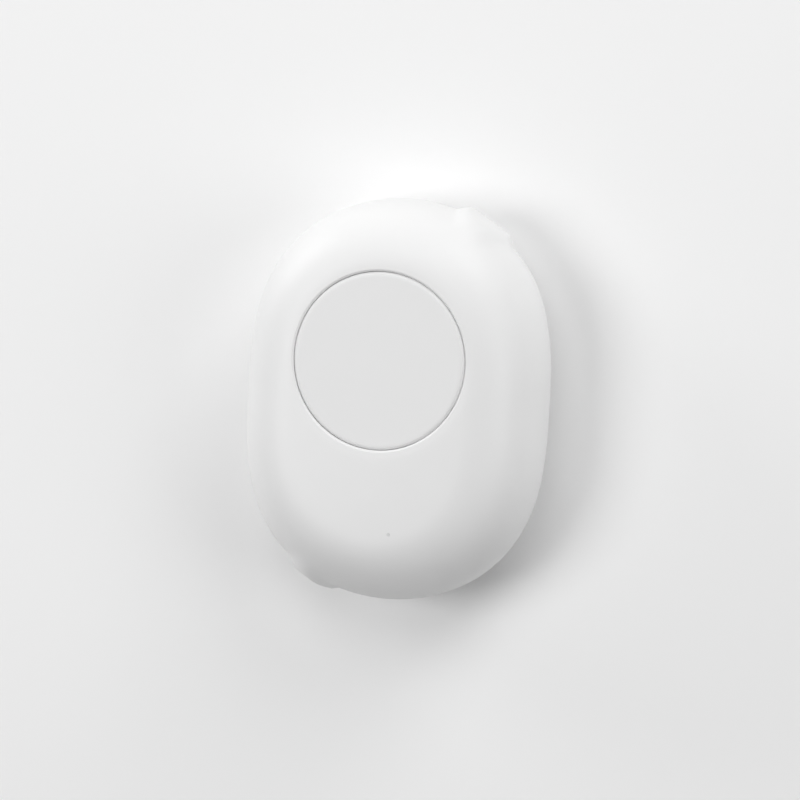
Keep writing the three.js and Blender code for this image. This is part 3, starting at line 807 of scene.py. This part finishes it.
class TAG_OT_stage(bpy.types.Operator):
    """Makes the pale floor, the studio light and the camera"""

    bl_idname = "tag.stage"
    bl_label = "Stage"

    def execute(self, context):
        scene = context.scene
        scene.view_settings.view_transform = "Standard"
        bm = turned([(FLOOR_HOLE, 0), (FLOOR_RING, 0), (FLOOR_SIZE, 0)], FLOOR_STEPS)
        for v in bm.verts:
            if math.hypot(v.co.x, v.co.y) < FLOOR_HOLE + 1:
                flat = v.co.xy.normalized()
                v.co.xy = flat * reach(Vector((0, 0)), flat, FLOOR_HOLE)
        floor = finish_mesh("floor", bm)
        if floor.data.polygons[0].normal.z < 0:
            floor.data.flip_normals()
        dress(floor, self.floor_material(scene.tag_colours))
        world = bpy.data.worlds.new("studio")
        scene.world = world
        world.use_nodes = True
        sky = world.node_tree.nodes["Background"]
        sky.inputs["Color"].default_value = (1, 1, 1, 1)
        sky.inputs["Strength"].default_value = WORLD_LIGHT
        for name, (azimuth, elevation, power) in LAMPS.items():
            self.lamp(name, azimuth, elevation, power)
        self.camera(scene)
        return {"FINISHED"}

    @staticmethod
    def floor_material(colours):
        """Pale and matt from above, and clear from below, so that the back can be seen."""
        material, nodes, links, shader = base_material("pale_floor", tuple(colours.floor), 0.9)
        clear = nodes.new("ShaderNodeBsdfTransparent")
        side = nodes.new("ShaderNodeNewGeometry")
        mix = nodes.new("ShaderNodeMixShader")
        links.new(side.outputs["Backfacing"], mix.inputs["Fac"])
        links.new(shader.outputs["BSDF"], mix.inputs[1])
        links.new(clear.outputs["BSDF"], mix.inputs[2])
        links.new(mix.outputs["Shader"], nodes["Material Output"].inputs["Surface"])
        return material

    @staticmethod
    def lamp(name, azimuth, elevation, power):
        """A soft round lamp that looks at the origin, placed by its angles in degrees."""
        around, above = math.radians(azimuth), math.radians(elevation)
        out = Vector(
            (math.cos(around) * math.cos(above), math.sin(around) * math.cos(above), math.sin(above))
        )
        data = bpy.data.lights.new(f"{name}_softbox", "AREA")
        data.energy = power
        data.shape = "DISK"
        data.size = LAMP_SIZE
        obj = bpy.data.objects.new(data.name, data)
        obj.location = out * LAMP_DISTANCE
        obj.rotation_euler = (-out).to_track_quat("-Z", "Y").to_euler()
        bpy.context.scene.collection.objects.link(obj)

    @staticmethod
    def camera(scene):
        """Looks at the tag's face from a little to its right, with a long lens."""
        data = bpy.data.cameras.new("camera")
        data.lens = CAMERA_LENS
        data.sensor_width = CAMERA_SENSOR
        camera = bpy.data.objects.new("camera", data)
        scene.collection.objects.link(camera)
        back = Vector(CAMERA_BACK).normalized()
        up = Matrix.Rotation(math.radians(CAMERA_ROLL), 3, back) @ Vector((0, 1, 0))
        side = up.cross(back).normalized()
        up = back.cross(side)
        rotation = Matrix((side, up, back)).transposed()
        aim = Vector(CAMERA_AIM) * MM
        camera.matrix_world = Matrix.Translation(aim + back * CAMERA_DISTANCE) @ rotation.to_4x4()
        data.clip_start = 0.01
        data.clip_end = 20
        scene.camera = camera


# ---------------------------------------------------------------- panel and registration


PIECE_OPERATORS = (
    "front_shell",
    "button_cap",
    "light_pipe",
    "rear_cover",
    "battery_door",
    "screws",
    "inner_finishes",
    "stage",
)


class TAG_PT_panel(bpy.types.Panel):
    """Lists the tag's pieces"""

    bl_idname = "TAG_PT_panel"
    bl_label = "Tracker Tag"
    bl_space_type = "VIEW_3D"
    bl_region_type = "UI"
    bl_category = "Tag"

    def draw(self, context):
        column = self.layout.column()
        for group in (context.scene.tag_sizes, context.scene.tag_colours):
            for name in group.__annotations__:
                column.prop(group, name)
        for name in PIECE_OPERATORS:
            column.operator(f"tag.{name}")


CLASSES = (
    TagSizes,
    TagColours,
    TAG_OT_front_shell,
    TAG_OT_button_cap,
    TAG_OT_light_pipe,
    TAG_OT_rear_cover,
    TAG_OT_battery_door,
    TAG_OT_screws,
    TAG_OT_inner_finishes,
    TAG_OT_stage,
    TAG_PT_panel,
)


def register():
    for cls in CLASSES:
        bpy.utils.register_class(cls)
    bpy.types.Scene.tag_sizes = PointerProperty(type=TagSizes)
    bpy.types.Scene.tag_colours = PointerProperty(type=TagColours)


def unregister():
    del bpy.types.Scene.tag_colours
    del bpy.types.Scene.tag_sizes
    for cls in reversed(CLASSES):
        bpy.utils.unregister_class(cls)


def main():
    register()
    make_finishes(bpy.context.scene.tag_colours)
    for name in PIECE_OPERATORS:
        getattr(bpy.ops.tag, name)()


if __name__ == "__main__":
    main()
